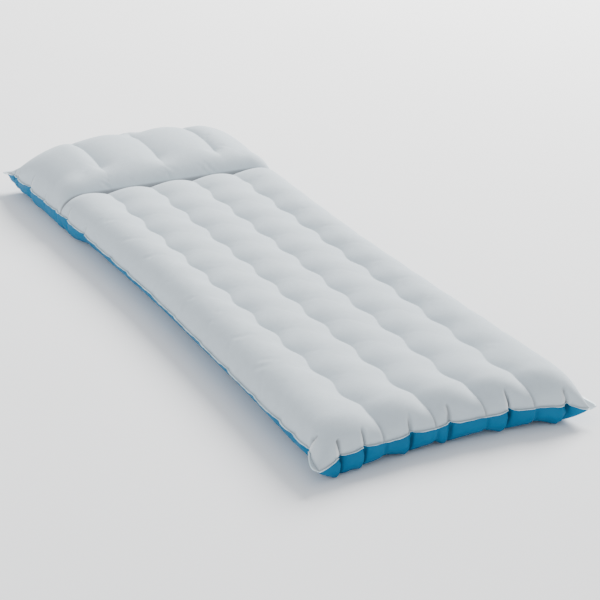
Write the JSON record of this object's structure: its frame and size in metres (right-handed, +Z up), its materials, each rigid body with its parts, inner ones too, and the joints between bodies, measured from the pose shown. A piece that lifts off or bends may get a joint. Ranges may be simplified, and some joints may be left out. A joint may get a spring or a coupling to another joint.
{
  "type": "inflatable camping mattress",
  "caption": "Inflatable camping mattress with lengthwise air channels, wavy internal webs, a raised pillow across the head end and a plug valve with pump inlet.",
  "frame": {"origin": "on the floor, under the middle of the mattress's outline", "axes": "+Y lengthwise towards the pillow, X across, +Z up"},
  "size_m": [0.67, 1.84, 0.168],
  "materials": {
    "grey_fabric_face": "fine matt woven face on coated sheet",
    "blue_sheet": "satin coated sheet, faint grain",
    "web_sheet": "plain satin sheet",
    "valve_grey": "soft moulded, satin",
    "valve_rubber": "clear-grey silicone, matt",
    "valve_blue": "soft moulded, satin"
  },
  "bodies": {
    "root": {"sleeping_top_sheet": "grey_fabric_face", "pillow_top_sheet": "grey_fabric_face", "bottom_sheet": "blue_sheet", "transverse_beam": "web_sheet", "wave_beam_1": "web_sheet", "wave_beam_2": "web_sheet", "wave_beam_3": "web_sheet", "wave_beam_4": "web_sheet", "pillow_beam_1": "web_sheet", "pillow_beam_2": "web_sheet", "pillow_beam_3": "web_sheet", "valve_patch": "web_sheet", "valve_base": "valve_grey", "plug_tether": "valve_grey"},
    "plug": {"valve_plug": "valve_grey", "plug_gasket": "valve_rubber"},
    "cap": {"inlet_cap": "valve_blue"},
    "flap": {"check_flap": "valve_rubber"}
  },
  "joints": [
    {"name": "plug_pull", "type": "slide", "parent": "root", "child": "plug", "axis": [0, 0.829, 0.5592], "range_m": [0, 0.024]},
    {"name": "cap_hinge", "type": "hinge", "parent": "plug", "child": "cap", "pos_m": [0, 0.8915, 0.09202], "axis": [-1, 0, 0], "range_deg": [0, 130]},
    {"name": "flap_hinge", "type": "hinge", "parent": "plug", "child": "flap", "pos_m": [0, 0.87833, 0.08857], "axis": [1, 0, 0], "range_deg": [0, 50], "stiffness_Nm_per_rad": 0.002, "springref_deg": -5.73}
  ]
}
